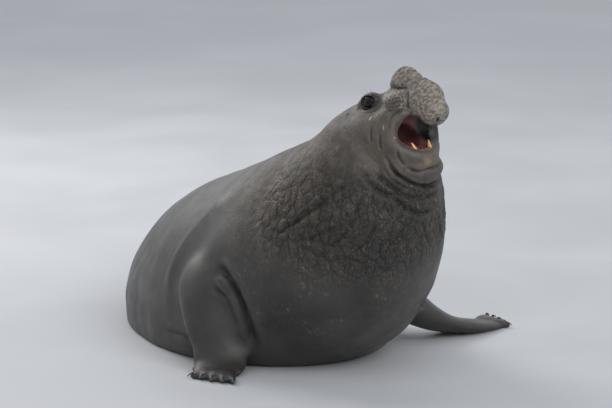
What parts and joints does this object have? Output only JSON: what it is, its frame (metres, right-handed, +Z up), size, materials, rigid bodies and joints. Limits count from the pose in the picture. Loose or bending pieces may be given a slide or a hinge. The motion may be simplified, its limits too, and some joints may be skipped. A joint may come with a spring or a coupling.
{
  "type": "elephant seal figure",
  "caption": "Life-size still figure of a bull southern elephant seal, reared up on its fore flippers and roaring with its mouth wide open and its nose swollen.",
  "frame": {"origin": "on the floor, under the middle of the bounding box", "axes": "+Z up; the hind body lies along +Y and the chest faces -Y, turned towards +X, where the nose points"},
  "size_m": [2.2182, 4.359, 1.6496],
  "materials": {
    "skin": "wet, short-haired dark grey-brown hide, creased at the neck",
    "nose_skin": "wrinkled and pitted grey-brown hide",
    "jaw_skin": "folded grey-brown hide with a tan chin, and ivory teeth",
    "mouth": "wet dark red flesh",
    "eye": "glossy black"
  },
  "bodies": {
    "root": {"head": "skin", "proboscis": "nose_skin", "lower_jaw": "jaw_skin", "tongue": "mouth", "eye_left": "eye", "eye_right": "eye", "neck": "skin", "chest": "skin", "torso": "skin", "hindquarters": "skin", "tail": "skin", "foreflipper_left": "skin", "foreflipper_right": "skin", "hindflipper_left": "skin", "hindflipper_right": "skin"}
  },
  "joints": []
}
